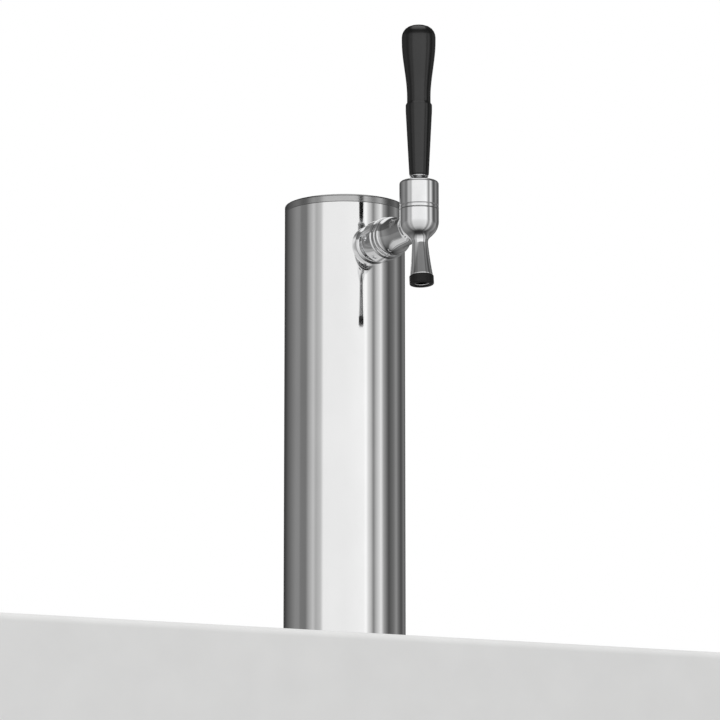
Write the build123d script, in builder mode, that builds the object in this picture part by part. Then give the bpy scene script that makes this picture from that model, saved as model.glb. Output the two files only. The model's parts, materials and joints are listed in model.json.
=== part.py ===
"""Beer tap tower: a round column with one faucet, made as separate pieces.

The origin is on the column's axis, on the underside of the base gasket. +Z runs up
the column, and the faucet stands out towards -Y. Sizes are in millimetres.
Along the shank, "forward" distances are measured from the column's axis towards -Y.
"""
import os
from math import cos, radians, sin

from build123d import *

os.makedirs("parts", exist_ok=True)

# Base
gasket_t = 1.5
flange_r = 65.0
flange_t = 4.0
flange_hole_r = 32.0     # the beer line and the cooling air come up through it
bolt_circle_r = 57.0
bolt_hole_r = 2.75
bolt_count = 4
countersink = 1.6
edge_break = 0.8         # small chamfers on the flange, nuts and inserts
socket_wall = 3.5
socket_h = 11.0
set_screw_r = 1.95
set_screw_l = 4.9
set_screw_key = 2.0      # across the flats of its socket
set_screw_angles = (90, 210, 330)

# Column
column_r = 47.5
column_wall = 1.2
column_top = 356.5
cap_rim_h = 6.0
cap_skirt_h = 11.0
cap_skirt_t = 2.4
cap_roof_t = 2.2
cap_edge_r = 1.6
groove_depth = 1.25      # for the ring that grips the tube
groove_half = 1.2
seal_r = 0.65
sleeve_t = 9.8
sleeve_top = 262.0

# Faucet
tap_z = 322.0            # height of the shank's axis
reach = 130.0            # forward distance of the head, lever and spout
shank_r = 11.1
shank_back = -3.0
shank_front = 69.5
shank_flange_t = 3.0
counterbore_r = 7.0
shank_flange_r = 12.8
counterbore_depth = 13.0
inlet_r = 3.2
running_gap = 0.3        # round the shank where it isn't threaded
collar_r = 15.6
collar_t = 6.0
saddle_r = 17.0
saddle_t = 8.0
lock_nut_flats = 30.0
lock_nut_l = 9.0
thread_r = 13.9          # male thread on the back of the faucet body
joint_t = 1.55           # room for the washer and the index ring
nut_r = 16.6
nut_behind = 7.0         # how far it reaches back over the shank
nut_over = 11.6          # and forward over the faucet body
nut_step = 1.0           # its nose is this much thinner
pin_hole_r = 2.4         # for a pin spanner
pin_hole_floor_r = 15.0
shoulder_r = 15.2        # collar on the faucet body, just ahead of the nut
shoulder_l = 3.6
flare_l = 20.0           # the barrel narrows from the shoulder over this length
seat_at = 84.0           # forward distance of the valve seat
chamber_r = 8.3
bore_r = 4.9
barrel_r = 11.3
head_r = 15.0
head_foot_r = 7.2        # where the head's dome meets the spout
head_foot_drop = 9.5
boss_r = 12.4            # thread inside the bonnet
boss_h = 10.5
lever_slot_w = 6.0
spout_tilt = 5.0         # degrees that the spout leans forward
spout_bore_r = 5.0
spout_bore_l = 30.0
passage_r = 4.6          # from the spout's bore up to the valve
spout_len = 46.3
neck_r = 6.1
flare_r = 8.8            # the spout's widest, where its ring starts
spigot_r = 7.6
tip_r = 9.3
tip_mouth_r = 5.8
tip_lip = 0.9
tip_top = 40.5           # how far down the spout its ring starts
tooth_count = 12
tooth_ring_r = 11.7
tooth_size = (2.4, 1.6, 1.0)

# Tailpiece
barb_y = 24.0            # how far back the hose barb stands
barb_drop = 38.0
barb_r = 5.6
barb_pitch = 5.0
elbow_r = 9.0
elbow_tube_r = 4.8
tail_bore_r = 3.0
tail_flange_r = 10.4
tail_flange_t = 2.4
washer_t = 1.5
tail_nut_flats = 28.0

# Lever, valve and handle
ball_r = 7.5
ball_seat_r = 6.7
cup_r = 10.0             # bore in the boss for the ball and its lower ring
cup_drop = 7.2           # its floor, below the ball's centre
arm_r = 2.1
arm_tip_r = 2.6
rod_r = 2.5
rod_collar_r = 4.2
fork_t = 6.0
stem_r = 3.5
stem_thread_r = 4.7
stem_thread_l = 17.8
valve_washer_r = 7.6
valve_washer_t = 3.0
backing_t = 1.2
valve_nut_flats = 8.0
valve_nut_l = 3.3
friction_t = 1.9
friction_at = 2.7        # above the ball's centre
bonnet_groove_z = 1.8    # above the bonnet's foot
handle_len = 118.0
handle_foot_r = 7.5
handle_neck_r = 9.0
handle_ring_r = 10.1     # just under the step
handle_grip_r = 13.0
handle_step = 57.0       # height of the step above the handle's foot
insert_r = 6.2

gap = 0.05               # clearance between pieces that seat on each other

# Heights that follow from the driving sizes
plate_top = gasket_t + flange_t
bore_wall_r = column_r - column_wall
cap_top = column_top + cap_rim_h
screw_z = plate_top + 0.55 * socket_h
body_back = shank_front + joint_t
head_top = tap_z + 12.0
ball_z = tap_z + 22.0
bonnet_top = tap_z + 34.0
collar_z = bonnet_top + 1.2
handle_z = collar_z + 3.1
handle_top = handle_z + handle_len

# The three axes that the turned pieces share, with a plane for each one's outline
column_plane = Plane.XZ
tap_axis = Axis((0, 0, tap_z), (0, -1, 0))
tap_plane = Plane(origin=(0, 0, tap_z), x_dir=(0, -1, 0), z_dir=(-1, 0, 0))
head_axis = Axis((0, -reach, 0), (0, 0, 1))
head_plane = Plane(origin=(0, -reach, 0), x_dir=(1, 0, 0), z_dir=(0, -1, 0))
lean = (sin(radians(spout_tilt)), cos(radians(spout_tilt)))
spout_axis = Axis((0, -reach, tap_z), (0, lean[0], lean[1]))
spout_plane = Plane(origin=(0, -reach, tap_z), x_dir=(1, 0, 0), z_dir=(0, -lean[1], lean[0]))


def turn(outline, plane, axis, mode=Mode.ADD):
    """Revolve a closed outline of straight sides in the part being built."""
    with BuildSketch(plane) as profile:
        with BuildLine():
            Polyline(*outline, close=True)
        make_face()
    revolve(profile.sketch, axis=axis, mode=mode)


def turn_column(outline, mode=Mode.ADD):
    """Turn an outline of (radius, height) about the column's axis."""
    turn(outline, column_plane, Axis.Z, mode)


def turn_tap(outline, mode=Mode.ADD):
    """Turn an outline of (forward, radius) about the shank's axis."""
    turn(outline, tap_plane, tap_axis, mode)


def turn_head(outline, mode=Mode.ADD):
    """Turn an outline of (radius, height) about the head's upright axis."""
    turn(outline, head_plane, head_axis, mode)


def turn_spout(outline, mode=Mode.ADD):
    """Turn an outline of (radius, distance above the shank) about the spout's axis."""
    turn(outline, spout_plane, spout_axis, mode)


def ring(start, end, inner, outer):
    """A plain ring on the shank's axis, as an outline of (forward, radius)."""
    return [(start, inner), (start, outer), (end, outer), (end, inner)]


def tap_section(forward):
    """A plane across the shank's axis, facing forward."""
    return Plane(origin=(0, -forward, tap_z), x_dir=(1, 0, 0), z_dir=(0, -1, 0))


def hex_nut(start, end, flats, bore):
    """A hexagon nut on the shank's axis, with its corners turned off."""
    with BuildSketch(tap_section(start)) as hexagon:
        RegularPolygon(flats / 2, 6, major_radius=False)
    extrude(hexagon.sketch, amount=end - start)
    bevel = flats * 0.045
    corner = flats / 2 * 1.13
    crown = [(start, 0), (start, flats / 2), (start + bevel, corner), (end - bevel, corner),
             (end, flats / 2), (end, 0)]
    turn_tap(crown, Mode.INTERSECT)
    turn_tap(ring(start, end, 0, bore), Mode.SUBTRACT)


def teeth(clearance, mode):
    """The ring of radial teeth that keys the faucet to the index ring."""
    with BuildSketch(tap_section(body_back - gap)) as teeth_outline:
        with PolarLocations(tooth_ring_r, tooth_count):
            Rectangle(tooth_size[0] + clearance, tooth_size[1] + clearance)
    extrude(teeth_outline.sketch, amount=tooth_size[2] + clearance, mode=mode)


def set_screw_planes(radius):
    """Planes that face outwards at each set screw, at a radius from the column's axis."""
    for angle in set_screw_angles:
        out = (cos(radians(angle)), sin(radians(angle)), 0)
        yield Plane(origin=(radius * out[0], radius * out[1], screw_z), z_dir=out)


def set_screw_holes():
    """Cut the set screws' holes in the part being built."""
    for plane in set_screw_planes(column_r / 2):
        with BuildSketch(plane) as hole:
            Circle(set_screw_r + gap)
        extrude(hole.sketch, amount=column_r, mode=Mode.SUBTRACT)


# ---- Base -------------------------------------------------------------------

with BuildPart() as base_gasket:
    with BuildSketch():
        Circle(flange_r - 1.0)
        Circle(flange_hole_r, mode=Mode.SUBTRACT)
        with PolarLocations(bolt_circle_r, bolt_count, start_angle=45):
            Circle(bolt_hole_r, mode=Mode.SUBTRACT)
    extrude(amount=gasket_t)

with BuildPart() as base_flange:
    socket_r = column_r + gap
    socket_out = socket_r + socket_wall
    rim_top = plate_top + socket_h
    turn_column([
        (flange_hole_r, gasket_t), (flange_r, gasket_t), (flange_r, plate_top - 2 * edge_break),
        (flange_r - 2 * edge_break, plate_top), (socket_out + 2 * edge_break, plate_top),
        (socket_out, plate_top + 2 * edge_break), (socket_out, rim_top - edge_break),
        (socket_out - edge_break, rim_top), (socket_r, rim_top), (socket_r, plate_top),
        (flange_hole_r, plate_top)])
    with Locations((0, 0, plate_top)):
        with PolarLocations(bolt_circle_r, bolt_count, start_angle=45):
            CounterSinkHole(bolt_hole_r, bolt_hole_r + countersink)
    set_screw_holes()

with BuildPart() as column_screws:
    for plane in set_screw_planes(bore_wall_r - 0.25):
        with BuildSketch(plane):
            Circle(set_screw_r)
        extrude(amount=set_screw_l)
    for plane in set_screw_planes(bore_wall_r + 3.0):
        with BuildSketch(plane):
            RegularPolygon(set_screw_key / 2, 6, major_radius=False)
        extrude(amount=set_screw_l, mode=Mode.SUBTRACT)

# ---- Column -----------------------------------------------------------------

with BuildPart() as column_tube:
    turn_column([(bore_wall_r, plate_top), (column_r, plate_top),
                 (column_r, column_top), (bore_wall_r, column_top)])
    turn_tap(ring(column_r / 2, column_r + 5, 0, shank_r + running_gap), Mode.SUBTRACT)
    set_screw_holes()

with BuildPart() as insulation_sleeve:
    sleeve_r = bore_wall_r - 0.5
    turn_column([(sleeve_r - sleeve_t, plate_top), (sleeve_r, plate_top),
                 (sleeve_r, sleeve_top), (sleeve_r - sleeve_t, sleeve_top)])

with BuildPart() as column_cap:
    skirt_r = bore_wall_r - 0.15
    skirt_in = skirt_r - cap_skirt_t
    skirt_end = column_top - cap_skirt_h
    groove_in = skirt_r - groove_depth
    groove_z = column_top - cap_skirt_h / 2
    roof = cap_top - cap_roof_t
    turn_column([
        (0, roof), (0, cap_top), (column_r, cap_top), (column_r, column_top),
        (skirt_r, column_top), (skirt_r, groove_z + groove_half),
        (groove_in, groove_z + groove_half), (groove_in, groove_z - groove_half),
        (skirt_r, groove_z - groove_half), (skirt_r, skirt_end), (skirt_in, skirt_end),
        (skirt_in, roof)])
    fillet(column_cap.edges().group_by(Axis.Z)[-1], cap_edge_r)

with BuildPart() as cap_seal_ring:
    with Locations((0, 0, groove_z)):
        Torus(groove_in + gap + seal_r, seal_r)

# ---- Shank through the column wall ------------------------------------------

with BuildPart() as shank_collar:
    collar_front = column_r + collar_t
    turn_tap([(column_r - 4.5, shank_r + 0.2), (column_r - 4.5, collar_r),
              (collar_front - 2.0, collar_r), (collar_front, collar_r - 1.8),
              (collar_front, shank_r + 0.2)])
    Cylinder(column_r + gap, 4 * column_top, mode=Mode.SUBTRACT)

with BuildPart() as inner_saddle:
    saddle_back = bore_wall_r - saddle_t
    turn_tap(ring(saddle_back, bore_wall_r + 1.0, shank_r + 0.2, saddle_r))
    Cylinder(bore_wall_r - gap, 4 * column_top, mode=Mode.INTERSECT)

with BuildPart() as shank_lock_nut:
    hex_nut(saddle_back - lock_nut_l, saddle_back - gap, lock_nut_flats, shank_r + gap)

with BuildPart() as shank:
    shank_flange_at = shank_front - shank_flange_t
    turn_tap([
        (shank_back, inlet_r), (shank_back, shank_r - edge_break),
        (shank_back + edge_break, shank_r), (shank_flange_at, shank_r),
        (shank_flange_at, shank_flange_r), (shank_front, shank_flange_r),
        (shank_front, counterbore_r), (shank_front - counterbore_depth, counterbore_r),
        (shank_front - counterbore_depth - 2.0, inlet_r)])

with BuildPart() as coupling_nut:
    nut_back = shank_front - nut_behind
    nut_front = body_back + nut_over
    lip = shank_flange_at - gap
    turn_tap([
        (nut_back, shank_r + running_gap), (nut_back, nut_r - 1.4), (nut_back + 1.4, nut_r),
        (nut_front - 5.0, nut_r), (nut_front - 4.0, nut_r - nut_step),
        (nut_front - 0.6, nut_r - nut_step), (nut_front, nut_r - nut_step - 0.6),
        (nut_front, thread_r + gap), (lip, thread_r + gap), (lip, shank_r + running_gap)])
    for turn_angle in range(0, 360, 60):
        side = (cos(radians(turn_angle)), 0, sin(radians(turn_angle)))
        hole_at = (side[0] * pin_hole_floor_r, -(nut_back + 7.5),
                   tap_z + side[2] * pin_hole_floor_r)
        with BuildSketch(Plane(origin=hole_at, z_dir=side)):
            Circle(pin_hole_r)
        extrude(amount=nut_r, mode=Mode.SUBTRACT)

with BuildPart() as index_ring:
    turn_tap(ring(shank_front + gap, body_back - gap, 10.5, 12.9))
    teeth(0, Mode.ADD)

with BuildPart() as coupling_washer:
    turn_tap(ring(shank_front + gap, body_back - gap, counterbore_r + 0.2, 10.4))

# ---- Tailpiece inside the column --------------------------------------------

with BuildPart() as tailpiece_washer:
    turn_tap(ring(shank_back - washer_t, shank_back - gap, 3.6, tail_flange_r - 0.4))

with BuildPart() as tailpiece:
    flange_at = shank_back - washer_t - gap
    barb_end = tap_z - barb_drop
    start = (0, -flange_at, tap_z)
    with BuildLine() as route:
        FilletPolyline(start, (0, barb_y, tap_z), (0, barb_y, barb_end), radius=elbow_r)
    with BuildSketch(Plane(origin=start, z_dir=(0, 1, 0))):
        Circle(elbow_tube_r)
    sweep(path=route.line)
    turn_tap(ring(flange_at - tail_flange_t, flange_at, 0, tail_flange_r))
    barb_axis = Axis((0, barb_y, 0), (0, 0, 1))
    barb_plane = Plane(origin=(0, barb_y, 0), x_dir=(1, 0, 0), z_dir=(0, -1, 0))
    for barb in range(3):
        z = barb_end + barb_pitch * barb
        turn([(0, z), (elbow_tube_r - 0.4, z), (barb_r, z + 4.0), (0, z + 4.0)],
             barb_plane, barb_axis)
    with BuildSketch(Plane(origin=start, z_dir=(0, 1, 0))):
        Circle(tail_bore_r)
    sweep(path=route.line, mode=Mode.SUBTRACT)

with BuildPart() as tailpiece_nut:
    lip_at = flange_at - tail_flange_t - gap
    tail_nut_front = shank_back + 7.0
    hex_nut(lip_at - 3.0, tail_nut_front, tail_nut_flats, elbow_tube_r + 0.4)
    turn_tap(ring(lip_at, tail_nut_front, 0, shank_r + gap), Mode.SUBTRACT)

# ---- Faucet body ------------------------------------------------------------

with BuildPart() as faucet_body:
    shoulder = nut_front + 0.3
    foot_z = tap_z - head_foot_drop
    dome_z = tap_z + 1.5
    with BuildSketch(tap_plane):
        with BuildLine():
            Polyline((reach, 0), (body_back, 0), (body_back, thread_r), (shoulder, thread_r),
                     (shoulder, shoulder_r), (shoulder + shoulder_l, shoulder_r))
            ThreePointArc((shoulder + shoulder_l, shoulder_r), (shoulder + flare_l / 2, 12.4),
                          (shoulder + flare_l, barrel_r))
            Polyline((shoulder + flare_l, barrel_r), (reach, barrel_r), (reach, 0))
        make_face()
    revolve(axis=tap_axis)
    with BuildSketch(head_plane):
        with BuildLine():
            Polyline((0, foot_z), (0, head_top + boss_h), (boss_r, head_top + boss_h),
                     (boss_r, head_top), (head_r, head_top), (head_r, dome_z))
            ThreePointArc((head_r, dome_z), (12.3, tap_z - 5.6), (head_foot_r, foot_z))
            Line((head_foot_r, foot_z), (0, foot_z))
        make_face()
    revolve(axis=head_axis)
    turn_spout([(0, 0), (6.6, 0), (neck_r, -15.0), (7.3, -28.0), (flare_r, -tip_top),
                (spigot_r, -tip_top), (spigot_r, -spout_len), (0, -spout_len)])
    turn_tap([(body_back, 0), (body_back, chamber_r), (seat_at, chamber_r), (seat_at, bore_r),
              (reach + 6.0, bore_r), (reach + 6.0, 0)], Mode.SUBTRACT)
    bore_start = spout_bore_l - spout_len
    turn_spout([(0, 0), (passage_r, 0), (passage_r, bore_start), (spout_bore_r, bore_start),
                (spout_bore_r, -spout_len - 1.0), (0, -spout_len - 1.0)], Mode.SUBTRACT)
    turn_head([(0, ball_z - cup_drop), (cup_r, ball_z - cup_drop), (cup_r, ball_z + 2),
               (0, ball_z + 2)], Mode.SUBTRACT)
    slot_back = reach - 11.0
    slot_front = reach + 3.2
    with BuildSketch(Plane.XY.offset(tap_z)):
        with Locations((0, -(slot_back + slot_front) / 2)):
            Rectangle(lever_slot_w, slot_front - slot_back)
    extrude(amount=ball_z - cup_drop + 0.2 - tap_z, mode=Mode.SUBTRACT)
    teeth(0.2, Mode.SUBTRACT)

with BuildPart() as spout_tip:
    ring_in = spigot_r + gap
    ring_end = -spout_len - tip_lip
    turn_spout([(ring_in, -tip_top - gap), (tip_r, -tip_top - gap), (tip_r, ring_end),
                (tip_mouth_r, ring_end), (tip_mouth_r, -spout_len - gap),
                (ring_in, -spout_len - gap)])
    rims = spout_tip.edges().filter_by(GeomType.CIRCLE).group_by(SortBy.RADIUS)[-1]
    fillet(rims.sort_by(Axis.Z)[0], tip_lip)

# ---- Valve ------------------------------------------------------------------

with BuildPart() as valve_shaft:
    fork_r = bore_r - 0.2
    fork_back = reach - 4.8
    fork_front = reach + 5.4
    rod_end = fork_back + 0.2
    turn_tap([(seat_at - 8.0, 0), (seat_at - 8.0, rod_r), (seat_at + gap, rod_r),
              (seat_at + gap, rod_collar_r), (seat_at + 2.0, rod_collar_r),
              (seat_at + 2.0, rod_r), (rod_end, rod_r), (rod_end, 0)])
    with BuildSketch(tap_section(fork_back)):
        Circle(fork_r)
        Rectangle(2 * fork_r, fork_t, mode=Mode.INTERSECT)
    extrude(amount=fork_front - fork_back)
    with BuildSketch(Plane.XY.offset(tap_z - bore_r)):
        with Locations((0, -reach)):
            Rectangle(6.4, 6.8)
    extrude(amount=2 * bore_r, mode=Mode.SUBTRACT)

backing_at = seat_at - valve_washer_t
valve_nut_at = backing_at - backing_t

with BuildPart() as seat_washer:
    turn_tap(ring(backing_at, seat_at - gap, rod_r + gap, valve_washer_r))

with BuildPart() as shaft_washer:
    turn_tap(ring(valve_nut_at, backing_at - gap, rod_r + gap, 6.5))

with BuildPart() as shaft_nut:
    hex_nut(valve_nut_at - valve_nut_l, valve_nut_at - gap, valve_nut_flats, rod_r + gap)

# ---- Lever and its seat -----------------------------------------------------

with BuildPart() as ball_washer:
    washer_low, washer_high = ball_z - cup_drop + 0.1, ball_z - 3.7
    washer_out = cup_r - 0.1
    turn_head([(ball_seat_r, washer_low), (washer_out, washer_low), (washer_out, washer_high),
               (ball_seat_r, washer_high)])

with BuildPart() as lever:
    stem_top = handle_z + stem_thread_l
    with Locations((0, -reach, ball_z)):
        Sphere(ball_r)
    turn_head([(0, tap_z), (arm_r, tap_z), (arm_r, ball_z), (stem_r, ball_z), (stem_r, collar_z),
               (stem_thread_r, collar_z), (stem_thread_r, stem_top - edge_break),
               (stem_thread_r - edge_break, stem_top), (0, stem_top)])
    with Locations((0, -reach, tap_z)):
        Sphere(arm_tip_r)

with BuildPart() as friction_washer:
    friction_z = ball_z + friction_at
    turn_head([(7.2, friction_z), (12.3, friction_z), (12.3, friction_z + friction_t),
               (7.2, friction_z + friction_t)])

with BuildPart() as bonnet:
    mouth_r = 6.4
    bore_end = friction_z + friction_t + 0.1
    bottom = head_top + 0.1
    groove_at = bottom + bonnet_groove_z
    turn_head([
        (boss_r + 0.1, bottom), (head_r - 0.4, bottom), (head_r, bottom + 0.4),
        (head_r, groove_at), (head_r - 0.6, groove_at + 0.6), (head_r, groove_at + 1.2),
        (head_r, bonnet_top), (12.0, bonnet_top), (mouth_r, bore_end + 0.6),
        (mouth_r, bore_end), (boss_r + 0.1, bore_end)])
    fillet(bonnet.edges().group_by(Axis.Z)[-1].sort_by(SortBy.RADIUS)[-1], 2.4)

with BuildPart() as lever_collar:
    turn_head([(stem_thread_r + gap, collar_z + gap), (5.0, collar_z + gap),
               (7.1, handle_z - gap), (stem_thread_r + gap, handle_z - gap)])

# ---- Handle -----------------------------------------------------------------

with BuildPart() as handle_insert:
    insert_top = handle_z + 21.0
    bore_top = handle_z + 18.4
    turn_head([(stem_thread_r + gap, handle_z), (insert_r, handle_z), (insert_r, insert_top),
               (0, insert_top), (0, bore_top), (stem_thread_r + gap, bore_top)])

with BuildPart() as tap_handle:
    step_z = handle_z + handle_step
    neck_top = step_z + 5.0
    grip_z = handle_top - 12.0
    socket_in = insert_r + gap
    with BuildSketch(head_plane):
        with BuildLine():
            Polyline((handle_neck_r, neck_top), (handle_neck_r, step_z),
                     (handle_ring_r, step_z - 1.6), (handle_ring_r, step_z - 6.0),
                     (handle_foot_r, handle_z + 0.8), (handle_foot_r - 0.7, handle_z),
                     (socket_in, handle_z), (socket_in, insert_top + gap), (0, insert_top + gap),
                     (0, handle_top), (handle_grip_r, handle_top), (handle_grip_r, grip_z))
            Spline((handle_grip_r, grip_z), (11.4, step_z + 27.0), (handle_neck_r, neck_top),
                   tangents=[(0, -1), (0, -1)])
        make_face()
    revolve(axis=head_axis)
    fillet(tap_handle.edges().group_by(Axis.Z)[-1], 9.0)

pieces = {
    "base_gasket": base_gasket, "base_flange": base_flange, "column_screws": column_screws,
    "column_tube": column_tube, "insulation_sleeve": insulation_sleeve,
    "column_cap": column_cap, "cap_seal_ring": cap_seal_ring, "shank_collar": shank_collar,
    "inner_saddle": inner_saddle, "shank_lock_nut": shank_lock_nut, "shank": shank,
    "coupling_nut": coupling_nut, "index_ring": index_ring,
    "coupling_washer": coupling_washer, "tailpiece_washer": tailpiece_washer,
    "tailpiece": tailpiece, "tailpiece_nut": tailpiece_nut, "faucet_body": faucet_body,
    "spout_tip": spout_tip, "valve_shaft": valve_shaft, "seat_washer": seat_washer,
    "shaft_washer": shaft_washer, "shaft_nut": shaft_nut, "ball_washer": ball_washer,
    "lever": lever, "friction_washer": friction_washer, "bonnet": bonnet,
    "lever_collar": lever_collar, "handle_insert": handle_insert, "tap_handle": tap_handle}

for name, piece in pieces.items():
    piece.part.label = name
    export_step(piece.part, f"parts/{name}.step")
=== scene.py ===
"""Looks and studio for the beer tap tower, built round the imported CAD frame.

Places and overall sizes are read from the frame. Sizes that a piece's box doesn't give, such
as bores and wall thicknesses, are set here. Outlines are written in millimetres, and the
objects are in metres, as the frame is.
"""
import json
from functools import partial
from math import atan2, cos, degrees, pi, radians, sin

import bmesh
import bpy
import numpy as np
from mathutils import Matrix, Vector


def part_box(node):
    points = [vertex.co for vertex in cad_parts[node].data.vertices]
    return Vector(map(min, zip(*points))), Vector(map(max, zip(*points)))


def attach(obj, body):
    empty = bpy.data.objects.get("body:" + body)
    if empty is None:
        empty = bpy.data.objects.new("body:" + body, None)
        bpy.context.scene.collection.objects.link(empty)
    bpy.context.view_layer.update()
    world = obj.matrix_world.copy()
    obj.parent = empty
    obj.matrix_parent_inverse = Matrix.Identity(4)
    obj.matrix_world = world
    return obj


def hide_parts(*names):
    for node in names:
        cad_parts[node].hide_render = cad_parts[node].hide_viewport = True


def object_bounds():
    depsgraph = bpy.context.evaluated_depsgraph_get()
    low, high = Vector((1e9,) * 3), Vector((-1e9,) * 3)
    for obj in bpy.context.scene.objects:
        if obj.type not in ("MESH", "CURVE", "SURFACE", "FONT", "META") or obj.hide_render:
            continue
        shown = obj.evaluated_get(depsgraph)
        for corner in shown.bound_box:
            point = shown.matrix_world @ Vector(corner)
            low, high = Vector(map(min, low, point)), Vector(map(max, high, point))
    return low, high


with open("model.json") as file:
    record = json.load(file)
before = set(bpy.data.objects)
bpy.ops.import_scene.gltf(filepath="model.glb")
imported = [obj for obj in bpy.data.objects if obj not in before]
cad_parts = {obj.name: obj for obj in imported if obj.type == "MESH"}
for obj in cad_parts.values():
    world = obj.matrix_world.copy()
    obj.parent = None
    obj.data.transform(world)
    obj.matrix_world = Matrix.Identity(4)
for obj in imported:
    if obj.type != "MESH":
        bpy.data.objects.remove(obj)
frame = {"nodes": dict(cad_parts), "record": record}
cad_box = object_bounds()

MM = 0.001

# ---- Driving dimensions, in millimetres ---------------------------------------


def span(node):
    """A CAD node's lowest and highest corners, in millimetres."""
    low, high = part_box(node)
    return low / MM, high / MM


def mount(name):
    """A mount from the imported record."""
    return next(m for m in frame["record"]["mounts"] if m["name"] == name)


tube_low, tube_high = span("column_tube")
cap_low, cap_high = span("column_cap")
flange_low, flange_high = span("base_flange")
shank_low, shank_high = span("shank")
bonnet_low, bonnet_high = span("bonnet")
nut_low, nut_high = span("coupling_nut")
body_low, body_high = span("faucet_body")
collar_low, collar_high = span("shank_collar")
cone_low, cone_high = span("lever_collar")
handle_low, handle_high = span("tap_handle")
lever_low, lever_high = span("lever")

gap = 0.05               # clearance between pieces that seat on each other
column_r = tube_high.x
column_wall = 1.2
tap_z = (shank_low.z + shank_high.z) / 2
reach = -(bonnet_low.y + bonnet_high.y) / 2
bolts = mount("base_bolts")["dims"]

# Shank, nut and faucet body
shank_r = 11.1
running_gap = 0.3        # round the shank where it isn't threaded
shank_flange_t = 3.0
thread_r = 13.9          # male thread on the back of the faucet body
seat_at = -span("seat_washer")[0].y + gap    # the valve's seat, ahead of the column's axis
boss_r = 12.4            # thread inside the bonnet

# Spout
spout = mount("spout_outlet")
spout_up = -Vector(spout["axis"])
spout_bore_r = spout["dims"]["r_mm"]
spout_bore_l = spout["dims"]["length_mm"]
spout_start = Vector((0, -reach, tap_z))
spout_len = (Vector(spout["pos_m"]) / MM - spout_start).length + spout_bore_l / 2
tip_top = spout_len - 5.8    # how far down the spout its ring starts
spigot_r = 7.6               # the spout's end, inside its ring

stem_thread_r = 4.7          # on the lever, up into the handle

# ---- Frames of the turned pieces: each one's Z is the axis it is turned about ----

COLUMN = Matrix.Identity(4)
HEAD = Matrix.Translation((0, -reach * MM, 0))
TAP = Matrix.Translation((0, 0, tap_z * MM)) @ Matrix.Rotation(pi / 2, 4, "X")
SPOUT = (Matrix.Translation(spout_start * MM)
         @ Matrix.Rotation(atan2(-spout_up.y, spout_up.z), 4, "X"))


def outward(place, angle):
    """A frame at place with its Z pointing sideways, at an angle in degrees round place's Z."""
    return place @ Matrix.Rotation(radians(angle), 4, "Z") @ Matrix.Rotation(pi / 2, 4, "Y")


# ---- Mesh tools ---------------------------------------------------------------

ARC_STEP = 14.0          # degrees between the points of a rounded corner
SLIVER = 0.012           # the largest edge, in millimetres, that counts as a cut's leftover


def rounded(outline):
    """A closed outline of (radius, height, corner radius) as plain points with arcs."""
    points = []
    count = len(outline)
    for i, (r, z, corner) in enumerate(outline):
        here = Vector((r, z))
        if corner <= 0:
            points.append(here)
            continue
        before = (Vector(outline[i - 1][:2]) - here).normalized()
        after = (Vector(outline[(i + 1) % count][:2]) - here).normalized()
        half = before.angle(after) / 2
        centre = here + (before + after).normalized() * (corner / sin(half))
        set_back = corner / np.tan(half)
        first = here + before * set_back - centre
        turn = first.angle_signed(here + after * set_back - centre)
        steps = max(2, round(abs(degrees(turn)) / ARC_STEP))
        for k in range(steps + 1):
            points.append(centre + Matrix.Rotation(-turn * k / steps, 2) @ first)
    return points


def make_object(name, verts, faces):
    """A smooth-shaded object from vertices in metres."""
    mesh = bpy.data.meshes.new(name)
    mesh.from_pydata(verts, [], faces)
    edit = bmesh.new()
    edit.from_mesh(mesh)
    bmesh.ops.recalc_face_normals(edit, faces=edit.faces)
    edit.to_mesh(mesh)
    edit.free()
    mesh.shade_smooth()
    obj = bpy.data.objects.new(name, mesh)
    bpy.context.scene.collection.objects.link(obj)
    return obj


def turned(name, outline, place, segments, swell=None):
    """Turn a closed outline about a frame's Z axis. swell(angle, height) adds to the radius."""
    verts = []
    rings = []
    for r, z in rounded(outline):
        if r < 1e-6:
            rings.append([len(verts)])
            verts.append(place @ Vector((0, 0, z * MM)))
            continue
        rings.append(list(range(len(verts), len(verts) + segments)))
        for k in range(segments):
            angle = 2 * pi * k / segments
            wide = r + (swell(angle, z) if swell else 0)
            verts.append(place @ (Vector((wide * cos(angle), wide * sin(angle), z)) * MM))
    faces = []
    for lower, upper in zip(rings, rings[1:] + rings[:1]):
        if len(lower) == 1 and len(upper) == 1:
            continue
        for k in range(segments):
            corners = [lower[k % len(lower)], lower[(k + 1) % len(lower)],
                       upper[(k + 1) % len(upper)], upper[k % len(upper)]]
            faces.append(list(dict.fromkeys(corners)))
    return make_object(name, verts, faces)


def merge_slivers(mesh):
    """Remove the tiny edges and faces that a cut leaves."""
    edit = bmesh.new()
    edit.from_mesh(mesh)
    bmesh.ops.remove_doubles(edit, verts=edit.verts, dist=SLIVER * MM)
    bmesh.ops.dissolve_degenerate(edit, edges=edit.edges, dist=SLIVER * MM)
    edit.to_mesh(mesh)
    edit.free()


def finish_mesh(obj, cutters=(), sharp=40.0):
    """Cut the holes, mark the sharp edges and let the large faces set the shading."""
    if cutters:
        for cutter in cutters:
            cut = obj.modifiers.new("cut", "BOOLEAN")
            cut.object = cutter
            cut.operation = "DIFFERENCE"
            cut.solver = "EXACT"
        graph = bpy.context.evaluated_depsgraph_get()
        whole = bpy.data.meshes.new_from_object(obj.evaluated_get(graph))
        obj.modifiers.clear()
        merge_slivers(whole)
        obj.data = whole
        for cutter in cutters:
            bpy.data.objects.remove(cutter)
    obj.data.set_sharp_from_angle(angle=radians(sharp))
    weighted = obj.modifiers.new("weighted", "WEIGHTED_NORMAL")
    weighted.keep_sharp = True
    return obj


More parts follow.
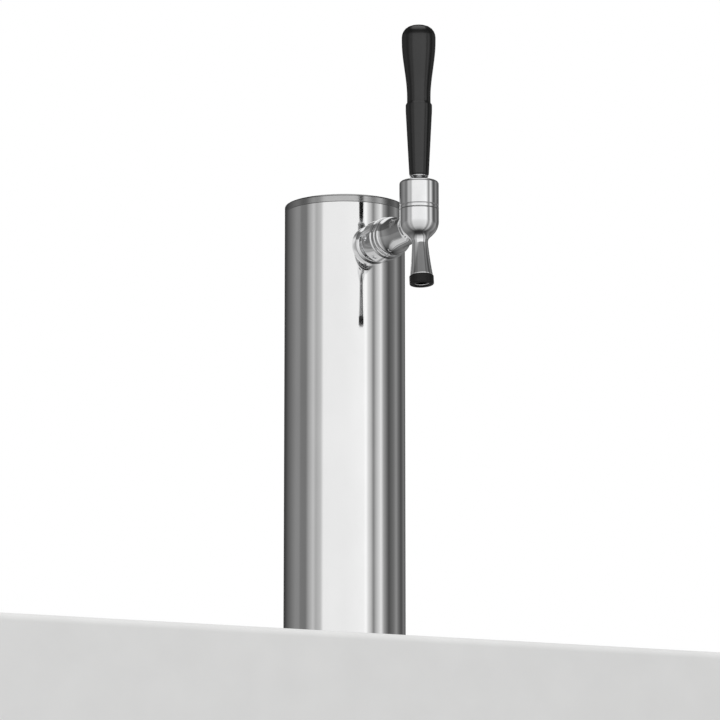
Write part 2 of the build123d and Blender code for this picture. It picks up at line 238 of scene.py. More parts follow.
def rod(radius, bottom, top, place, flare=0.0):
    """A cutter: a plain rod along a frame's Z, which may open out by flare at its top."""
    outline = [(0, bottom, 0), (radius, bottom, 0), (radius, top - flare, 0),
               (radius + flare, top, 0), (0, top, 0)]
    return turned("cutter", outline, place, 48)


# ---- Materials ----------------------------------------------------------------


def add_node(tree, kind, inputs, **settings):
    """A node with its inputs set to values or linked to other nodes' outputs."""
    made = tree.nodes.new("ShaderNode" + kind)
    for key, value in settings.items():
        setattr(made, key, value)
    for socket, value in inputs.items():
        if isinstance(value, bpy.types.NodeSocket):
            tree.links.new(value, made.inputs[socket])
        else:
            made.inputs[socket].default_value = value
    return made


class Look:
    """A material: one Principled shader, and the nodes that vary it over the surface."""

    def __init__(self, name, metallic=0.0, **values):
        self.material = bpy.data.materials.new(name)
        self.material.use_nodes = True
        self.tree = self.material.node_tree
        self.node = partial(add_node, self.tree)
        self.shader = self.tree.nodes["Principled BSDF"]
        self.shader.inputs["Metallic"].default_value = metallic
        for socket, value in values.items():
            self.shader.inputs[socket.replace("_", " ")].default_value = value
        self.place = self.node("TexCoord", {}).outputs["Object"]
        self.relief = None

    def noise(self, scale, stretch=(1, 1, 1), detail=3.0, roughness=0.5):
        """Soft noise, with scale in cells per metre."""
        where = self.node("VectorMath", {0: self.place, 1: stretch}, operation="MULTIPLY")
        made = self.node("TexNoise", {"Vector": where.outputs[0], "Scale": scale,
                                      "Detail": detail, "Roughness": roughness})
        return made.outputs["Fac"]

    def lathe_lines(self, axis, scale):
        """Fine rings that a lathe leaves round an axis, with scale in rings per metre."""
        local = self.node("Mapping", {"Vector": self.place, "Location": axis.translation,
                                      "Rotation": axis.to_euler()}, vector_type="TEXTURE")
        flat = self.node("VectorMath", {0: local.outputs[0], 1: (1, 1, 0)},
                         operation="MULTIPLY")
        away = self.node("VectorMath", {0: flat.outputs[0]}, operation="LENGTH")
        along = self.node("SeparateXYZ", {0: local.outputs[0]})
        both = self.node("Math", {0: away.outputs["Value"], 1: along.outputs["Z"]},
                         operation="ADD")
        made = self.node("TexNoise", {"W": both.outputs[0], "Scale": scale, "Detail": 4.0},
                         noise_dimensions="1D")
        return made.outputs["Fac"]

    def cells(self, scale):
        """Distance to the nearest cell point, with scale in cells per metre."""
        made = self.node("TexVoronoi", {"Vector": self.place, "Scale": scale})
        return made.outputs["Distance"]

    def spread(self, value, low, high, start=0.3, end=0.7):
        """A texture's middle range taken to low..high."""
        made = self.node("MapRange", {0: value, 1: start, 2: end, 3: low, 4: high})
        return made.outputs[0]

    def colour(self, value, first, second):
        """The base colour, from first to second as the value goes from 0 to 1."""
        mix = self.node("Mix", {"Factor": value, "A": (*first, 1), "B": (*second, 1)},
                        data_type="RGBA")
        colour_out = [o for o in mix.outputs if o.type == "RGBA"][0]
        self.tree.links.new(colour_out, self.shader.inputs["Base Color"])
        return self

    def rough(self, value):
        """The roughness, from a node."""
        self.tree.links.new(value, self.shader.inputs["Roughness"])
        return self

    def bump(self, height, depth, strength):
        """Relief, with depth in millimetres, on top of any relief set before."""
        made = self.node("Bump", {"Height": height, "Distance": depth * MM,
                                  "Strength": strength})
        if self.relief:
            self.tree.links.new(self.relief, made.inputs["Normal"])
        self.relief = made.outputs["Normal"]
        self.tree.links.new(self.relief, self.shader.inputs["Normal"])
        return self

    def add(self, first, second):
        """The sum of two textures."""
        return self.node("Math", {0: first, 1: second}, operation="ADD").outputs[0]


def grey(level):
    """A neutral colour."""
    return (level, level, level)


def column_steel():
    """Mirror-polished tube: faint handling smudges over fine rings from the polishing belt."""
    look = Look("column_steel", metallic=1.0)
    smudge = look.noise(22, stretch=(1, 1, 0.5), detail=5, roughness=0.6)
    belt = look.noise(900, stretch=(0.02, 0.02, 1), detail=2)
    look.colour(look.spread(smudge, 0, 1), grey(0.84), grey(0.89))
    look.rough(look.add(look.spread(smudge, 0.035, 0.075), look.spread(belt, 0.0, 0.025)))
    return look.bump(belt, 0.002, 0.25)


def cap_steel():
    """Satin disc, turned on a lathe."""
    look = Look("cap_steel", metallic=1.0)
    lines = look.lathe_lines(COLUMN, 1800)
    dulled = look.noise(40, detail=4)
    look.colour(look.spread(dulled, 0, 1), grey(0.47), grey(0.53))
    look.rough(look.add(look.spread(dulled, 0.13, 0.19), look.spread(lines, 0.0, 0.06)))
    return look.bump(lines, 0.006, 0.35)


def chrome_plate():
    """Bright plating over polished brass, with dried water marks and a soft ripple."""
    look = Look("chrome_plate", metallic=1.0)
    marks = look.cells(260)
    film = look.noise(90, detail=5, roughness=0.6)
    ripple = look.noise(160, detail=2)
    look.colour(look.spread(film, 0, 1), (0.83, 0.835, 0.84), (0.9, 0.9, 0.905))
    spots = look.spread(marks, 0.04, 0.0, 0.05, 0.22)
    look.rough(look.add(look.spread(film, 0.03, 0.07), spots))
    return look.bump(ripple, 0.02, 0.2)


def machined(name, first, second, axis):
    """Plain turned metal, with lathe lines round an axis and a little staining."""
    look = Look(name, metallic=1.0)
    lines = look.lathe_lines(axis, 1100)
    stain = look.noise(70, detail=5, roughness=0.65)
    look.colour(look.spread(stain, 0, 1), first, second)
    look.rough(look.add(look.spread(stain, 0.2, 0.34), look.spread(lines, 0.0, 0.08)))
    return look.bump(lines, 0.02, 0.4)


def handle_black():
    """Satin moulded handle: fine grain, a little flow in the gloss, dust in the grain."""
    look = Look("handle_black", Specular_IOR_Level=0.75)
    grain = look.noise(2600, detail=2)
    flow = look.noise(30, stretch=(1, 1, 0.25), detail=4)
    dust = look.noise(420, detail=6, roughness=0.7)
    look.colour(look.spread(dust, 0, 1, 0.55, 0.8), grey(0.003), grey(0.010))
    look.rough(look.spread(flow, 0.17, 0.25))
    return look.bump(flow, 0.2, 0.1).bump(grain, 0.02, 0.35)


def black_plastic():
    """Moulded ring and saddle, a little duller than the handle."""
    look = Look("black_plastic", Specular_IOR_Level=0.3)
    grain = look.noise(1800, detail=3)
    wear = look.noise(150, detail=5)
    look.colour(look.spread(wear, 0, 1), grey(0.004), grey(0.012))
    look.rough(look.spread(wear, 0.28, 0.40))
    return look.bump(grain, 0.04, 0.4)


def black_rubber():
    """Matte rubber with a dusty bloom."""
    look = Look("black_rubber")
    bloom = look.noise(120, detail=6, roughness=0.7)
    look.colour(look.spread(bloom, 0, 1), grey(0.018), grey(0.045))
    look.rough(look.spread(bloom, 0.68, 0.85))
    return look.bump(look.noise(1500, detail=4), 0.06, 0.5)


def nylon():
    """Moulded bearing ring, off-white and slightly translucent."""
    look = Look("nylon", Subsurface_Weight=0.08)
    mottle = look.noise(200, detail=4)
    look.colour(look.spread(mottle, 0, 1), (0.78, 0.76, 0.7), (0.86, 0.85, 0.8))
    look.rough(look.spread(mottle, 0.35, 0.48))
    return look.bump(look.noise(900), 0.03, 0.3)


def foam_sleeve():
    """Closed-cell foam with a skin of small pores."""
    look = Look("foam_sleeve")
    pores = look.cells(700)
    tone = look.noise(60, detail=5)
    look.colour(look.spread(tone, 0, 1), grey(0.05), grey(0.09))
    look.rough(look.spread(pores, 0.95, 0.8, 0.0, 0.6))
    return look.bump(pores, 0.4, 0.7)


STEEL = (grey(0.52), grey(0.62))
BRASS = ((0.62, 0.42, 0.17), (0.76, 0.56, 0.26))
looks = {
    "column_steel": column_steel(),
    "cap_steel": cap_steel(),
    "chrome_plate": chrome_plate(),
    "screw_steel": machined("screw_steel", *STEEL, HEAD),
    "brass_parts": machined("brass_parts", *BRASS, TAP),
    "black_plastic": black_plastic(),
    "handle_black": handle_black(),
    "black_rubber": black_rubber(),
    "nylon": nylon(),
    "foam_sleeve": foam_sleeve(),
}
brass_insert = machined("brass_insert", *BRASS, HEAD)
slot_of = {row["node"]: row["material_slot"] for row in frame["record"]["subparts"]}
body_of = {node: body for body, nodes in frame["record"]["behaviour"]["bodies"].items()
           for node in nodes}


def stand_for(piece, node):
    """The piece takes a CAD node's place, body and material slot."""
    slot = slot_of[node]
    piece.data.materials.clear()
    piece.data.materials.append(looks[slot].material)
    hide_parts(node)
    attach(piece, body_of[node])


# ---- Base and column ----------------------------------------------------------


def base_flange():
    """Plated disc with a raised socket for the tube, countersunk for four screws."""
    line_hole_r = 32.0       # the beer line and the cooling air come up through it
    socket_r = column_r + gap
    socket_out = socket_r + 3.5
    bottom, top, rim = flange_low.z, tube_low.z, flange_high.z
    edge_r = flange_high.x
    chamfer = 1.6            # on the disc's edge and in the countersinks
    flange = turned("flange", [
        (line_hole_r, bottom, 0.3), (edge_r, bottom, 0.4), (edge_r, top - chamfer, 0.8),
        (edge_r - chamfer, top, 0.8), (socket_out, top, 1.6), (socket_out, rim, 0.9),
        (socket_r, rim, 0.3), (socket_r, top, 0.2), (line_hole_r, top, 0.5)], COLUMN, 192)
    cutters = []
    hole_r = bolts["hole_r_mm"]
    past = 0.8               # how far the cutters' wide ends stand out
    for k in range(bolts["count"]):
        turn = Matrix.Rotation(radians(45 + 90 * k), 4, "Z")
        at = turn @ Matrix.Translation((bolts["pcd_mm"] / 2 * MM, 0, 0))
        cutters.append(turned("cutter", [
            (0, bottom - 1, 0), (hole_r, bottom - 1, 0), (hole_r, top - chamfer, 0),
            (hole_r + chamfer + past, top + past, 0), (0, top + past, 0)], at, 64))
    screw_hole_r = 2.0
    screws_low, screws_high = span("column_screws")
    screws = Matrix.Translation((0, 0, (screws_low.z + screws_high.z) / 2 * MM))
    for angle in (90, 210, 330):
        cutters.append(rod(screw_hole_r, column_r - 4, socket_out + 2, outward(screws, angle)))
    return finish_mesh(flange, cutters)


def column_tube():
    """Thin polished tube with the hole for the shank. The set screws' holes are left out."""
    inner = column_r - column_wall
    tube = turned("tube", [
        (inner, tube_low.z, 0.2), (column_r, tube_low.z, 0.3),
        (column_r, tube_high.z, 0.35), (inner, tube_high.z, 0.2)], COLUMN, 288)
    return finish_mesh(tube, [rod(shank_r + running_gap, column_r / 2, column_r + 5, TAP)])


def column_cap():
    """Flush disc: a thin rim with a broken edge, a skirt with a groove for the ring."""
    top, seam, bottom = cap_high.z, tube_high.z, cap_low.z
    roof = top - 2.2
    skirt = column_r - column_wall - 0.15
    skirt_in = skirt - 2.4
    groove, groove_half = (seam + bottom) / 2, 1.2
    groove_in = skirt - 1.25
    cap = turned("cap", [
        (0, roof, 0), (0, top, 0), (column_r, top, 1.6), (column_r, seam + gap, 0.35),
        (skirt, seam + gap, 0.1), (skirt, groove + groove_half, 0.15),
        (groove_in, groove + groove_half, 0.1), (groove_in, groove - groove_half, 0.1),
        (skirt, groove - groove_half, 0.15), (skirt, bottom, 0.5), (skirt_in, bottom, 0.5),
        (skirt_in, roof, 1.0)], COLUMN, 288)
    return finish_mesh(cap)


# ---- Shank, collar and nut ----------------------------------------------------


def shank_collar():
    """Round saddle whose back follows the tube and whose front edge is turned over."""
    front = -collar_low.y
    back = column_r - 5.0
    bore, outer = shank_r + 0.2, collar_high.x
    collar = turned("collar", [
        (bore, back, 0), (outer, back, 0), (outer, front - 2.0, 1.2),
        (outer - 1.8, front, 1.2), (bore, front, 0.4)], TAP, 192)
    return finish_mesh(collar, [rod(column_r + gap, tap_z - 60, tap_z + 60, COLUMN)], 30)


def shank():
    """Threaded tube with a flange that the coupling nut pulls on."""
    pitch, depth = 1.41, 0.45
    crest_rise = 0.25        # of the depth, over the shank's plain radius
    back, front = -shank_high.y, -shank_low.y
    flange_back = front - shank_flange_t
    flange_r = 12.8
    thread_start, thread_end = back + 1.0, flange_back - 0.6
    inlet_r, counterbore_r, counterbore_depth = 3.2, 7.0, 13.0
    rings_per_turn = 6

    def thread(angle, forward):
        """The thread's height over the plain radius, fading out at the thread's two ends."""
        share = min(1.0, (forward - thread_start) / pitch, (thread_end - forward) / pitch)
        if share <= 0:
            return 0.0
        phase = (forward / pitch - angle / (2 * pi)) % 1.0
        return -depth * share * (1 - (1 + crest_rise) * abs(2 * phase - 1))

    ring_count = int((thread_end - thread_start) / pitch * rings_per_turn)
    run = [(shank_r, back + 0.9 + pitch * k / rings_per_turn, 0) for k in range(ring_count)]
    outline = [
        (inlet_r, back, 0), (shank_r - 0.8, back, 0), *run, (shank_r, flange_back, 0),
        (flange_r, flange_back, 0.3), (flange_r, front, 0.3), (counterbore_r, front, 0.2),
        (counterbore_r, front - counterbore_depth, 0),
        (inlet_r, front - counterbore_depth - 2.0, 0)]
    return finish_mesh(turned("shank_tube", outline, TAP, 96, swell=thread), sharp=50)


def coupling_nut():
    """Ring nut with a stepped nose and six blind holes for a pin spanner."""
    back, front = -nut_high.y, -nut_low.y
    bore, thread_bore, outer = shank_r + running_gap, thread_r + gap, nut_high.x
    bevel = 1.4
    nose_r, nose_back = outer - 1.0, front - 4.0
    lip = -shank_low.y - shank_flange_t - gap
    nut = turned("nut", [
        (bore, back, 0.3), (outer - bevel, back, 0.5), (outer, back + bevel, 0.9),
        (outer, nose_back - 1.0, 0.6), (nose_r, nose_back, 0.6), (nose_r, front, 0.9),
        (thread_bore, front, 0.3), (thread_bore, lip, 0), (bore, lip, 0.2)], TAP, 192)
    pin_hole_r, pin_hole_floor, pin_hole_count = 2.4, 15.0, 6
    pins = TAP @ Matrix.Translation((0, 0, (back + 7.5) * MM))
    cutters = [rod(pin_hole_r, pin_hole_floor, outer + 0.25,
                   outward(pins, 360 / pin_hole_count * k), flare=0.4)
               for k in range(pin_hole_count)]
    return finish_mesh(nut, cutters, 35)


# ---- Faucet body: one casting, as a field of distances --------------------------


def arc_points(first, middle, last):
    """Points of a smooth curve through three points."""
    steps = 16
    a, b, c = (np.array(p, float) for p in (first, middle, last))
    control = 2 * b - (a + c) / 2
    t = np.linspace(0, 1, steps + 1)[:, None]
    return [tuple(p) for p in (1 - t) ** 2 * a + 2 * t * (1 - t) * control + t ** 2 * c]


def inset(outline, corner):
    """A closed outline moved inwards by corner, so that growing it back rounds its corners."""
    points = np.array(outline, float)
    edges = np.roll(points, -1, axis=0) - points
    turning = np.sign(np.cross(points, np.roll(points, -1, axis=0)).sum())
    inward = turning * np.stack([-edges[:, 1], edges[:, 0]], axis=1)
    inward /= np.linalg.norm(inward, axis=1, keepdims=True)
    before = np.roll(inward, 1, axis=0)
    mitre = (before + inward) / (1 + (before * inward).sum(axis=1, keepdims=True))
    return (points + corner * mitre).tolist()


def outline_distance(u, v, outline, corner=0.0):
    """Signed distance from points (u, v) to a closed outline, negative inside."""
    nearest = np.full(u.shape, np.inf)
    inside = np.zeros(u.shape, bool)
    outline = inset(outline, corner)
    for (au, av), (bu, bv) in zip(outline, outline[1:] + outline[:1]):
        eu, ev = bu - au, bv - av
        share = np.clip(((u - au) * eu + (v - av) * ev) / (eu * eu + ev * ev), 0, 1)
        nearest = np.minimum(nearest, (u - au - share * eu) ** 2 + (v - av - share * ev) ** 2)
        if ev:
            crosses = (av > v) != (bv > v)
            inside ^= crosses & (u < au + (v - av) * eu / ev)
    return np.where(inside, -1, 1) * np.sqrt(nearest) - corner


def blend(first, second, width):
    """Union of two fields, with a fillet about as wide as width."""
    near = np.maximum(width - np.abs(first - second), 0) / width
    return np.minimum(first, second) - near * near * width / 4


def cut_away(field, hole):
    """A field with a hole taken out, and a small rounding at its rim."""
    rounding = 0.6
    return -blend(-field, hole, rounding)


def mirrored(outline):
    """An outline of (radius, height) with its other half, so the axis isn't an edge."""
    return outline + [(-r, z) for r, z in reversed(outline)]


def faucet_field(x, y, z):
    """Signed distance to the faucet body, in millimetres.

    The slot for the lever's arm and the sockets for the index ring's teeth are left out.
    """
    forward = -y
    up = z - tap_z
    across = np.hypot(x, up)
    round_head = np.hypot(x, forward - reach)
    lean_y, lean_z = spout_up.y, spout_up.z
    along = -(forward - reach) * lean_y + up * lean_z
    aside = (forward - reach) * lean_z + up * lean_y
    round_spout = np.hypot(x, aside)

    back = -body_high.y
    shoulder, shoulder_r = -nut_low.y + running_gap, 15.2
    relief, relief_r = shoulder - 2.5, 12.8    # a groove where the thread runs out
    barrel_r = 11.3
    head_r, head_top = 15.0, bonnet_low.z - 0.1
    boss_top = head_top + 10.5
    fillet, edge = 4.0, 0.7

    barrel = outline_distance(across, forward, mirrored([
        (thread_r, back), (thread_r, relief), (relief_r, relief), (relief_r, shoulder),
        (shoulder_r, shoulder),
        *arc_points((shoulder_r, shoulder + 3.6), (12.2, shoulder + 9.0),
                    (barrel_r, shoulder + 20.0)),
        (barrel_r, reach)]), corner=1.2)
    head = outline_distance(round_head, z, mirrored([
        *arc_points((7.2, tap_z - 9.5), (12.5, tap_z - 5.2), (head_r, tap_z + 1.5)),
        (head_r, head_top), (boss_r, head_top), (boss_r, boss_top)]), edge)
    neck = outline_distance(round_spout, along, mirrored([
        *arc_points((8.8, -tip_top), (7.2, -28.0), (6.1, -15.0)), (6.4, 0)]), edge)
    body = blend(blend(barrel, head, fillet), neck, fillet)
    spigot = outline_distance(round_spout, along, mirrored([
        (spigot_r, -spout_len), (spigot_r, 3.0 - tip_top)]), 0.4)
    body = np.minimum(body, spigot)

    bore_top = spout_bore_l - spout_len
    passage_r = 4.6          # from the spout's bore up to the valve
    body = cut_away(body, outline_distance(round_spout, along, mirrored([
        (spout_bore_r, -spout_len - 3), (spout_bore_r, bore_top), (passage_r, bore_top),
        (passage_r, 0)])))
    chamber_r, valve_bore_r = 8.3, 4.9
    body = cut_away(body, outline_distance(across, forward, mirrored([
        (chamber_r, back - 3), (chamber_r, seat_at), (valve_bore_r, seat_at),
        (valve_bore_r, reach + 6.0)])))
    cup_r, cup_floor = 10.0, bonnet_low.z + 2.7
    return cut_away(body, outline_distance(round_head, z, mirrored([
        (cup_r, cup_floor), (cup_r, cup_floor + 12.0)])))


def mixed_cells(solid):
    """Which cells of a grid have some corners inside a shape and some outside."""
    across, deep, high = (n - 1 for n in solid.shape)
    count = np.zeros((across, deep, high), int)
    for i, j, k in np.ndindex(2, 2, 2):
        count += solid[i:across + i, j:deep + j, k:high + k]
    return (count > 0) & (count < 8)


def settle(field, points, cell):
    """Points moved onto a field's zero level, with the field's slope at each."""
    probe = 0.1              # half the distance over which a slope is measured
    least_square = 0.25      # floor for the slope squared, where the field is nearly flat
    for _ in range(6):
        here = field(*points.T)
        slope = np.stack([(field(*(points + step).T) - field(*(points - step).T)) / (2 * probe)
                          for step in np.eye(3) * probe], axis=1)
        square = np.maximum((slope ** 2).sum(axis=1), least_square)
        points = points - np.clip(here / square, -cell / 2, cell / 2)[:, None] * slope
    return points, slope


def quads_round_edges(solid, number):
    """A quad for each grid edge that the surface crosses, by its four cells' numbers."""
    quads = []
    for axis in range(3):
        others = [a for a in range(3) if a != axis]
        lower = np.take(solid, range(solid.shape[axis] - 1), axis)
        upper = np.take(solid, range(1, solid.shape[axis]), axis)
        edges = np.argwhere(lower != upper)
        keep = (edges[:, others] > 0).all(axis=1) & (
            edges[:, others] < np.array(number.shape)[others]).all(axis=1)
        edges = edges[keep]
        corners = []
        for step in ((0, 0), (1, 0), (1, 1), (0, 1)):
            at = edges.copy()
            at[:, others] -= step
            corners.append(number[tuple(at.T)])
        quads.extend(np.stack(corners, axis=1).tolist())
    return quads


def surface_net(field, low, high, cell):
    """Points and quads along a field's zero level, with the surface's normal at each point."""
    lines = [np.arange(a, b + cell, cell) for a, b in zip(low, high)]
    solid = field(*np.meshgrid(*lines, indexing="ij")) < 0
    mixed = mixed_cells(solid)
    cells = np.argwhere(mixed)
    number = np.full(mixed.shape, -1)
    number[mixed] = np.arange(len(cells))
    points, slope = settle(field, np.array(low) + (cells + 0.5) * cell, cell)
    normals = slope / np.linalg.norm(slope, axis=1, keepdims=True)
    return points * MM, quads_round_edges(solid, number), normals


def faucet_body():
    """The casting that carries the spout, the valve and the lever."""
    margin = Vector((1.5, 1.5, 1.5))
    points, quads, normals = surface_net(faucet_field, body_low - margin, body_high + margin,
                                         cell=0.5)
    body = make_object("body", points.tolist(), quads)
    body.data.normals_split_custom_set_from_vertices(normals.tolist())
    return body


def spout_tip():
    """Moulded ring on the end of the spout."""
    start, end, floor = -tip_top - gap, -spout_len - 0.9, -spout_len - gap
    bore, outer, mouth = spigot_r + gap, 9.3, 5.8
    tip = turned("tip", [
        (bore, start, 0.1), (outer, start, 0.35), (outer, end, 0.9), (mouth, end, 0.4),
        (mouth, floor, 0), (bore, floor, 0)], SPOUT, 128)
    return finish_mesh(tip)


# ---- Bonnet, lever and handle ---------------------------------------------------


def bonnet():
    """Tall ring nut with a turned groove low down and a dished mouth."""
    bottom, top = bonnet_low.z, bonnet_high.z
    thread_bore, outer = boss_r + 0.1, bonnet_high.x
    seat = span("friction_washer")[1].z + 0.1
    throat_r, mouth_r = 6.4, 12.0
    ring_nut = turned("ring_nut", [
        (thread_bore, bottom, 0.2), (outer, bottom, 0.4), (outer, bottom + 1.8, 0.25),
        (outer - 0.6, bottom + 2.4, 0.2), (outer, bottom + 3.0, 0.25), (outer, top, 2.4),
        (mouth_r, top, 0.5), (throat_r, seat + 0.6, 0.4), (throat_r, seat, 0.1),
        (thread_bore, seat, 0)], HEAD, 160)
    return finish_mesh(ring_nut, sharp=50)


def ball_side(radius, centre, angles):
    """Outline points on a ball, at angles in degrees from its lowest point."""
    return [(radius * sin(radians(a)), centre - radius * cos(radians(a)), 0) for a in angles]


def lever():
    """Ball and stem, with the lower arm that moves the valve's fork."""
    ball_z, ball_r = bonnet_low.z + 9.9, 7.5
    stem_r, arm_r, arm_tip_r = 3.5, 2.1, 2.6
    arm_tip_z = lever_low.z + arm_tip_r
    top = lever_high.z
    shoulder = cone_low.z - gap
    outline = [
        (0, arm_tip_z - arm_tip_r, 0), *ball_side(arm_tip_r, arm_tip_z, range(15, 121, 15)),
        (arm_r, arm_tip_z + 2.2, 0), *ball_side(ball_r, ball_z, range(20, 148, 8)),
        (stem_r, ball_z + 7.2, 0), (stem_r, shoulder, 0.2), (stem_thread_r, shoulder, 0.2),
        (stem_thread_r, top - 0.8, 0.2), (stem_thread_r - 0.8, top, 0.2), (0, top, 0)]
    return finish_mesh(turned("stem", outline, HEAD, 96))


def lever_collar():
    """Thin plated cone between the bonnet and the handle."""
    bottom, top = cone_low.z, cone_high.z
    bore, foot, outer = stem_thread_r + gap, 5.1, 7.1
    cone = turned("cone", [
        (bore, bottom, 0.1), (foot, bottom, 0.3), (outer, top - 0.5, 0.3), (outer, top, 0.15),
        (bore, top, 0)], HEAD, 96)
    return finish_mesh(cone)


def tap_handle():
    """Black handle that widens upwards, with a shallow step and a rounded top."""
    bottom, top = handle_low.z, handle_high.z
    socket_r, socket_top = 6.25, span("handle_insert")[1].z + gap
    foot_r, ring_r, neck_r, grip_r = 7.5, 10.1, 9.0, handle_high.x
    step = bottom + 57.0
    neck_top, swell_l = step + 5, 43.8
    ridge, ridge_half = 0.09, 0.035    # its height, and half its width as a sine

    def parting_line(angle, z):
        """The mould's fine ridge, up both sides of the handle."""
        if z <= bottom + 2:
            return 0.0
        off = abs(sin(angle - pi / 2))
        return ridge * max(0.0, 1 - (off / ridge_half) ** 2)

    swell = []
    for k in range(1, 12):
        t = k / 12
        swell.append((neck_r + (grip_r - neck_r) * (3 * t * t - 2 * t ** 3),
                      neck_top + swell_l * t, 0))
    outline = [
        (0, top, 0), (0, socket_top, 0), (socket_r, socket_top, 0), (socket_r, bottom, 0.2),
        (foot_r - 0.6, bottom, 0.3), (foot_r, bottom + 1.2, 0.6), (ring_r, step - 6.0, 2.0),
        (ring_r, step - 1.4, 0.7), (neck_r, step + 0.3, 0.8), (neck_r, neck_top, 0),
        *swell, (grip_r, top - 12.0, 0), (grip_r, top, 9.0)]
    return finish_mesh(turned("handle", list(reversed(outline)), HEAD, 192, parting_line),
                       sharp=50)


# Each of these functions has the name of the CAD node that its piece stands for
for make_piece in (base_flange, column_tube, column_cap, shank_collar, shank, coupling_nut,
                   faucet_body, spout_tip, bonnet, lever, lever_collar, tap_handle):
    stand_for(make_piece(), make_piece.__name__)

# Every CAD piece gets its finish too, whether it stays or has been replaced above
for node, obj in frame["nodes"].items():
    look = brass_insert if node == "handle_insert" else looks[slot_of[node]]
    obj.data.materials.clear()
    obj.data.materials.append(look.material)


# ---- Studio, in metres ------------------------------------------------------------

VIEW_AZIMUTH = radians(-25.8)
VIEW_DISTANCE = 3.017
VIEW_HEIGHT = -0.32
AIM_RIGHT = 0.012        # how far right of the column's middle the camera points
EVEN_LIGHT = 0.75        # what the matte surfaces get from all round

toward_camera = Vector((sin(VIEW_AZIMUTH), -cos(VIEW_AZIMUTH), 0))
camera_right = Vector((cos(VIEW_AZIMUTH), sin(VIEW_AZIMUTH), 0))

# What the polished pieces mirror, going round from behind the camera's left to its
# right: (degrees from the camera, brightness)
AROUND = (
    (-180, 0.04), (-150, 0.06), (-124, 0.17), (-106, 0.27), (-97, 0.27), (-92, 0.20),
    (-79, 0.19), (-73, 0.36), (-62, 0.60), (-56, 0.44), (-46, 0.58), (-41, 0.93), (0, 0.94),
    (36, 1.0), (41, 1.1), (45, 0.8), (51, 0.56), (56, 0.22), (62, 0.5), (73, 0.88),
    (79, 0.38), (86, 0.19), (92, 0.08), (106, 0.17), (115, 0.30), (124, 0.15), (135, 0.07),
    (150, 0.19), (165, 0.10), (180, 0.04))
# How strongly that ring shows, from straight down to straight up: (degrees above the
# horizon, share)
RING_SHARE = ((-90, 0.0), (-72, 0.05), (-58, 0.35), (-40, 0.6), (-14, 0.7), (-4, 0.85),
              (2, 1.0), (23, 1.0), (28, 0.2), (60, 0.1), (66, 0.0))
# What is the same all round: the floor, and a soft box overhead
ALL_ROUND = ((-90, 0.02), (-72, 0.02), (-58, 0.03), (-40, 0.06), (-14, 0.12), (-6, 0.1),
             (-1, 0.0), (23, 0.0), (30, 0.06), (58, 0.06), (66, 0.95), (90, 1.0))


def ramp(tree, factor, stops):
    """A colour ramp through (position from 0 to 1, brightness)."""
    made = add_node(tree, "ValToRGB", {"Fac": factor})
    elements = made.color_ramp.elements
    while len(elements) < len(stops):
        elements.new(0.5)
    for element, (position, level) in zip(elements, stops):
        element.position = position
        element.color = (*grey(level), 1)
    return made.outputs["Color"]


def make_world():
    """White behind the object, even light on what is matte, and a ring of light and dark
    cards in what is polished."""
    world = bpy.data.worlds.new("studio")
    bpy.context.scene.world = world
    world.use_nodes = True
    tree = world.node_tree
    tree.nodes.clear()
    add = partial(add_node, tree)

    direction = add("TexCoord", {}).outputs["Generated"]
    ahead = add("VectorMath", {0: direction, 1: toward_camera}, operation="DOT_PRODUCT")
    aside = add("VectorMath", {0: direction, 1: camera_right}, operation="DOT_PRODUCT")
    turn = add("Math", {0: aside.outputs["Value"], 1: ahead.outputs["Value"]},
               operation="ARCTAN2")
    around = add("MapRange", {0: turn.outputs[0], 1: -pi, 2: pi, 3: 0.0, 4: 1.0})
    rise = add("SeparateXYZ", {0: direction})
    upward = add("MapRange", {0: rise.outputs["Z"], 1: -1.0, 2: 1.0, 3: 0.0, 4: 1.0})
    ring = ramp(tree, around.outputs[0], [((a + 180) / 360, level) for a, level in AROUND])
    share, all_round = (ramp(tree, upward.outputs[0],
                             [((sin(radians(a)) + 1) / 2, level) for a, level in stops])
                        for stops in (RING_SHARE, ALL_ROUND))
    cards = add("VectorMath", {0: ring, 1: share, 2: all_round}, operation="MULTIPLY_ADD")
    mirrored_light, even_light, backdrop = (
        add("Background", {"Color": colour, "Strength": strength}) for colour, strength in
        ((cards.outputs[0], 1.0), ((1, 1, 1, 1), EVEN_LIGHT), ((1, 1, 1, 1), 1.0)))
    path = add("LightPath", {})
    lit = add("MixShader", {0: path.outputs["Is Diffuse Ray"], 1: mirrored_light.outputs[0],
                            2: even_light.outputs[0]})
    seen = add("MixShader", {0: path.outputs["Is Camera Ray"], 1: lit.outputs[0],
                             2: backdrop.outputs[0]})
    add("OutputWorld", {"Surface": seen.outputs[0]})


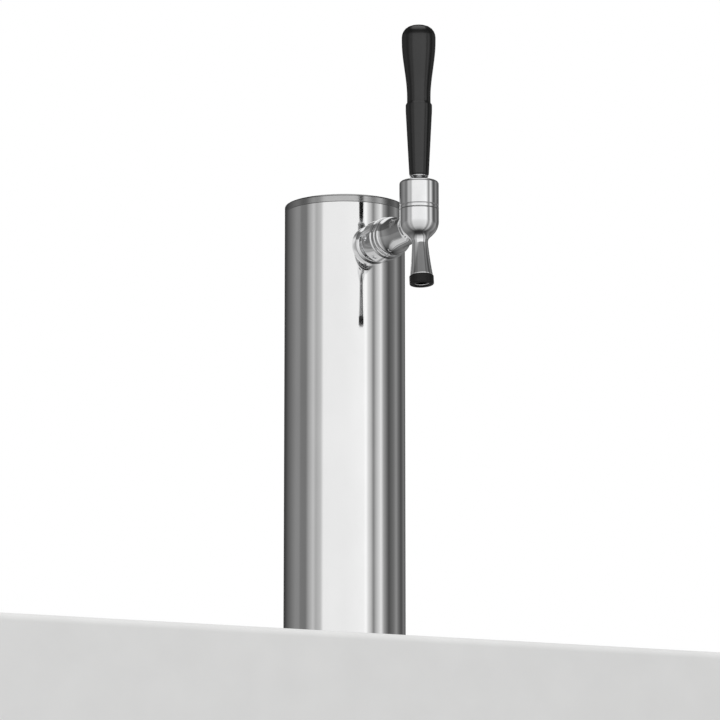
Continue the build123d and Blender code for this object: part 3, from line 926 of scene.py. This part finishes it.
def make_counter():
    """Pale counter that the tower stands on, with its front edge just ahead of the spout."""
    front, side, deep, low = -0.20, 6.0, 6.0, -3.0
    nose, nose_steps = 0.006, 8
    profile = [(deep, 0.0), (front + nose, 0.0)]
    for k in range(1, nose_steps + 1):
        angle = radians(90 + 90 * k / nose_steps)
        profile.append((front + nose + nose * cos(angle), -nose + nose * sin(angle)))
    profile += [(front, low), (deep, low)]
    verts = [(x, y, z) for x in (-side, side) for y, z in profile]
    count = len(profile)
    faces = [[k, (k + 1) % count, (k + 1) % count + count, k + count] for k in range(count)]
    faces += [list(range(count)), list(range(count, 2 * count))]
    counter = make_object("counter", verts, faces)
    counter.data.set_sharp_from_angle(angle=radians(40))
    look = Look("counter_paint")
    speck = look.noise(30, detail=4)
    look.colour(look.spread(speck, 0, 1), (0.72, 0.72, 0.715), (0.75, 0.75, 0.745))
    look.rough(look.spread(speck, 0.55, 0.62))
    counter.data.materials.append(look.material)
    counter.visible_glossy = False


def make_light(name, position, target, size, power):
    """A square soft light aimed at a point."""
    data = bpy.data.lights.new(name, "AREA")
    data.size = size
    data.energy = power
    light = bpy.data.objects.new(name, data)
    light.visible_glossy = False
    light.location = position
    light.rotation_euler = (target - position).to_track_quat("-Z", "Y").to_euler()
    bpy.context.scene.collection.objects.link(light)


def make_camera():
    """The camera, low and a little to the left of the faucet's side."""
    data = bpy.data.cameras.new("camera")
    data.lens = 195
    data.sensor_width = 36
    camera = bpy.data.objects.new("camera", data)
    low, high = cad_box
    target = Vector((0, 0, (low[2] + high[2]) / 2)) + AIM_RIGHT * camera_right
    camera.location = toward_camera * VIEW_DISTANCE + Vector((0, 0, VIEW_HEIGHT))
    camera.rotation_euler = (target - camera.location).to_track_quat("-Z", "Y").to_euler()
    bpy.context.scene.collection.objects.link(camera)
    bpy.context.scene.camera = camera


make_world()
make_counter()
middle = Vector((0, 0, 0.25))
make_light("overhead", Vector((-0.4, -0.6, 2.4)), middle, size=1.6, power=18)
make_light("front", toward_camera * 3.4 + Vector((0, 0, 2.6)), middle, size=1.8, power=22)
make_camera()
bpy.context.scene.view_settings.view_transform = "Standard"
